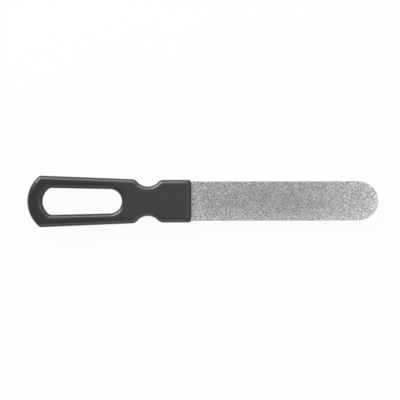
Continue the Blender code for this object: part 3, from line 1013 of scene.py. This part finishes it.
steel, tree, shader = new_material("ground_steel")
shader.inputs["Metallic"].default_value = 1.0
grain = use_group(tree, grain_tree, Size=0.07 * MM, Stretch=LINES_ALONG_EDGE)
rim_wear = use_group(tree, wear_tree, Patch_Size=2.5 * MM, Patchiness=0.5)["Mask"]
marks = use_group(tree, marks_tree, Size=6.0 * MM, Scratches=0.3)["Mask"]
colour = mix_colours(tree, grain["Tone"], DULL_STEEL, BRIGHT_STEEL)
tree.links.new(colour, shader.inputs["Base Color"])
shine = math_node(tree, "MULTIPLY", rim_wear, BROKEN_EDGE_SHINE)
roughness = math_node(tree, "SUBTRACT", STEEL_ROUGHNESS, shine)
set_gloss(tree, shader, roughness, marks, STEEL_SMUDGE)
set_relief(tree, shader, grain["Height"], strength=0.5, distance=0.008 * MM)
print("steel nodes:", len(tree.nodes))

# %% [markdown]
# ## The grit
#
# Nickel plating holds the grains, and grains of mineral stand out of it, so the surface is partly bright
# metal and partly dull stone. One value for Metallic would make it either chrome or cement. Here the
# grains' own tone drives the colour, the gloss and the metal share together, so bright specks are also
# the ones that glint, and painted light makes all of them paler toward the tip, one side and the root.

# %% Coarse and fine grit
# Painted light: the grit's colour is painted paler from this x toward the tip, and away from a line to one
# side.
PAINTED_LIGHT_FROM_X = 40.0 * MM
DULL_LINE_Y = 3.0 * MM
LEAST_PAINTED_LIGHT = 0.96
METAL_RANGE = (0.2, 0.8)
STONE_METAL, NICKEL_METAL = 0.15, 0.6
GLOSS_RANGE = (0.1, 0.9)
STONE_ROUGHNESS, NICKEL_ROUGHNESS = 0.75, 0.55
GRIT_SMUDGE = 0.05
GRAIN_RELIEF = 0.15


def grit_material(name, grain_size, clumps, dark, light, painted_lift):
    """Grit between a dark and a light grey, made paler toward the ends by painted light, by painted_lift.
    """
    material, tree, shader = new_material(name)
    grit = use_group(tree, grit_tree, Grain=grain_size, Clumps=clumps)
    marks = use_group(tree, marks_tree, Size=14.0 * MM, Scratches=0.2)["Mask"]
    # Painted light: this mask makes the grit's colour paler toward the tip, one side and the root.
    painted_light = use_group(tree, painted_light_tree, Root_X=COLLAR_X, Middle_X=PAINTED_LIGHT_FROM_X, Tip_X=TIP_X,
                        Round_X=TIP_X - BLADE_HALF, Dull_Y=DULL_LINE_Y, Reach=BLADE_HALF,
                        Toward_Tip=0.46, Toward_Rim=0.32, Toward_Root=0.22)["Mask"]
    gain = stretch(tree, painted_light, 0.0, 1.0, LEAST_PAINTED_LIGHT, LEAST_PAINTED_LIGHT + painted_lift)
    colour = mix_colours(tree, grit["Tone"], (dark, dark, dark), (light, light, light))
    tree.links.new(scale_colour(tree, colour, gain), shader.inputs["Base Color"])
    metal = stretch(tree, grit["Tone"], *METAL_RANGE, STONE_METAL, NICKEL_METAL)
    tree.links.new(metal, shader.inputs["Metallic"])
    roughness = stretch(tree, grit["Tone"], *GLOSS_RANGE, STONE_ROUGHNESS, NICKEL_ROUGHNESS)
    set_gloss(tree, shader, roughness, marks, GRIT_SMUDGE)
    set_relief(tree, shader, grit["Height"], strength=0.5, distance=grain_size * GRAIN_RELIEF)
    return material


coarse = grit_material("coarse_grit_in_nickel", grain_size=0.21 * MM, clumps=0.0,
                       dark=0.053, light=0.478, painted_lift=1.0)
fine = grit_material("fine_grit_in_nickel", grain_size=0.13 * MM, clumps=0.1,
                     dark=0.08, light=0.485, painted_lift=0.5)
print("finishes:", [material.name for material in (plastic, steel, coarse, fine)])

# %% [markdown]
# ## Every piece takes its place
#
# Each object here stands for one piece of the engineering model: it rides on the same body, hides the
# plain solid and takes over its material slot. The plain solids could be kept and given the new materials,
# but then they would have no crown, no flash and no grains.

# %% Finish, ride, replace and slot


def take_over(thing, material, node):
    thing.data.materials.clear()
    thing.data.materials.append(material)
    for face in thing.data.polygons:
        face.material_index = 0
    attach(thing, "root")
    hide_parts(node)
    print(thing.name, "replaces", node)


take_over(handle, plastic, "loop_handle")
take_over(strip, steel, "file_blade")
take_over(front_coat, coarse, "front_grit_coat")
take_over(back_coat, fine, "back_grit_coat")

# %% [markdown]
# ## The floor
#
# The file lies on a plain white floor. A white background could come from stronger lamps, but they would
# bleach the file too. Instead the floor's material asks Light Path what sees it: to the camera, to shiny
# surfaces and through glass it is nearly pure white, with a little of its real lit surface left so that
# the file keeps a soft shadow. To all other light it is an ordinary white floor. From below it lets the
# camera through.

# %% A floor that is white to the camera and in reflections
FLOOR_HALF = 12.0
FLOOR_GLOW = 0.95
WHITE_PAINT = (0.8, 0.8, 0.8, 1.0)
PURE_WHITE = (1.0, 1.0, 1.0, 1.0)


def background_is_seen(tree):
    """1 for the rays of the camera, of reflections and of glass, and 0 for light that falls."""
    seen = add(tree, "LightPath").outputs
    reflected = math_node(tree, "MAXIMUM", seen["Is Glossy Ray"], seen["Is Transmission Ray"])
    return math_node(tree, "MAXIMUM", seen["Is Camera Ray"], reflected)


floor = new_object("floor", [(-FLOOR_HALF, -FLOOR_HALF, 0), (FLOOR_HALF, -FLOOR_HALF, 0),
                             (FLOOR_HALF, FLOOR_HALF, 0), (-FLOOR_HALF, FLOOR_HALF, 0)], [(0, 1, 2, 3)])
if floor.data.polygons[0].normal.z < 0:
    floor.data.flip_normals()
floor_white = bpy.data.materials.new("floor_white")
floor_white.use_nodes = True
tree = floor_white.node_tree
tree.nodes.remove(tree.nodes["Principled BSDF"])
share = math_node(tree, "MULTIPLY", background_is_seen(tree), FLOOR_GLOW)
lit = add(tree, "BsdfDiffuse", {"Color": WHITE_PAINT}).outputs[0]
glow = add(tree, "Emission", {"Color": PURE_WHITE, "Strength": 1.0}).outputs[0]
surface = add(tree, "MixShader", {0: share, 1: lit, 2: glow}).outputs[0]
to_camera = add(tree, "LightPath").outputs["Is Camera Ray"]
underside = add(tree, "NewGeometry").outputs["Backfacing"]
from_below = math_node(tree, "MULTIPLY", underside, to_camera)
clear = add(tree, "BsdfTransparent").outputs[0]
surface = add(tree, "MixShader", {0: from_below, 1: surface, 2: clear}).outputs[0]
tree.links.new(surface, tree.nodes["Material Output"].inputs["Surface"])
floor.data.materials.append(floor_white)
print("floor, m:", 2 * FLOOR_HALF)

# %% [markdown]
# ## Soft studio light
#
# The photograph was lit by a soft key light behind the file and a little to the left, seen in the long
# bright line on its far rims. A second softbox straight behind the file widens that line. A large one on
# the right, beyond the blade's tip, one overhead and a long low one in front fill the rest. Point lamps
# would be simpler, but only area lamps make such soft edges. Their strengths were set with a grey card in
# the file's place, so that a colour renders about as it is written.

# %% Softboxes
AIM = Vector((0, 0, MIDDLE_Z))

# Each row holds watts, width and height in metres, azimuth and elevation in degrees, and distance.
SOFTBOXES = {
    "key_softbox": (13.9, 0.7, 0.45, 128, 19, 1.0),
    "back_softbox": (6.1, 0.75, 0.45, 86, 19, 1.0),
    "right_softbox": (13.3, 2.2, 1.3, 33, 30, 1.6),
    "overhead_softbox": (3.8, 1.1, 0.8, 0, 66, 1.5),
    "front_fill": (4.75, 1.9, 0.5, 288, 22, 1.0),
}


def softbox(name, watts, width, height, azimuth, elevation, distance):
    """An area lamp that faces the file. Azimuth runs from +X toward +Y."""
    lamp = bpy.data.lights.new(name, "AREA")
    lamp.shape = "RECTANGLE"
    lamp.size, lamp.size_y = width, height
    lamp.energy = watts
    thing = bpy.data.objects.new(name, lamp)
    bpy.context.scene.collection.objects.link(thing)
    turn, rise = math.radians(azimuth), math.radians(elevation)
    away = (math.cos(rise) * math.cos(turn), math.cos(rise) * math.sin(turn), math.sin(rise))
    thing.location = AIM + distance * Vector(away)
    thing.rotation_euler = (AIM - thing.location).to_track_quat("-Z", "Y").to_euler()
    print(name, "at", [round(x, 2) for x in thing.location])


for name, setting in SOFTBOXES.items():
    softbox(name, *setting)

# %% [markdown]
# ## The room
#
# Round the floor is a white room. A plain white world would light the file from all sides and leave no
# shadow, and a dark one would leave black places in the steel and the plating. So the world asks Light
# Path as the floor does: it is white to the camera, in reflections and through glass, and adds only a
# little light of its own.

# %% A white room that gives little light
ROOM_LIGHT = 0.026

world = bpy.data.worlds.new("studio")
world.use_nodes = True
tree = world.node_tree
sky = tree.nodes["Background"]
sky.inputs["Color"].default_value = PURE_WHITE
strength = stretch(tree, background_is_seen(tree), 0.0, 1.0, ROOM_LIGHT, 1.0)
tree.links.new(strength, sky.inputs["Strength"])
bpy.context.scene.world = world
print("room nodes:", len(tree.nodes))

# %% [markdown]
# ## The camera
#
# The photograph looks straight down on the file's front face, from far enough that its sides hardly show.
# An orthographic camera would show no sides at all, so a long lens it is. The distance follows from how
# much of the view the file fills, and a slight roll matches the way it lies in the picture.

# %% Camera straight above
FIELD_WIDTH = 202.95 * MM
LENS = 120.0
SENSOR = 36.0
VIEW_CENTRE = (-1.37 * MM, 0.58 * MM)
ROLL = -0.0018

camera_data = bpy.data.cameras.new("camera")
camera_data.lens = LENS
camera_data.sensor_width = SENSOR
camera = bpy.data.objects.new("camera", camera_data)
bpy.context.scene.collection.objects.link(camera)
camera.location = (*VIEW_CENTRE, MIDDLE_Z + FIELD_WIDTH * LENS / SENSOR)
camera.rotation_euler = (0, 0, ROLL)
bpy.context.scene.camera = camera
bpy.context.scene.view_settings.view_transform = "Standard"
print("camera height, m:", round(camera.location.z, 3))

# %% [markdown]
# ## The size
#
# The dressed file must be as large as the engineering model.
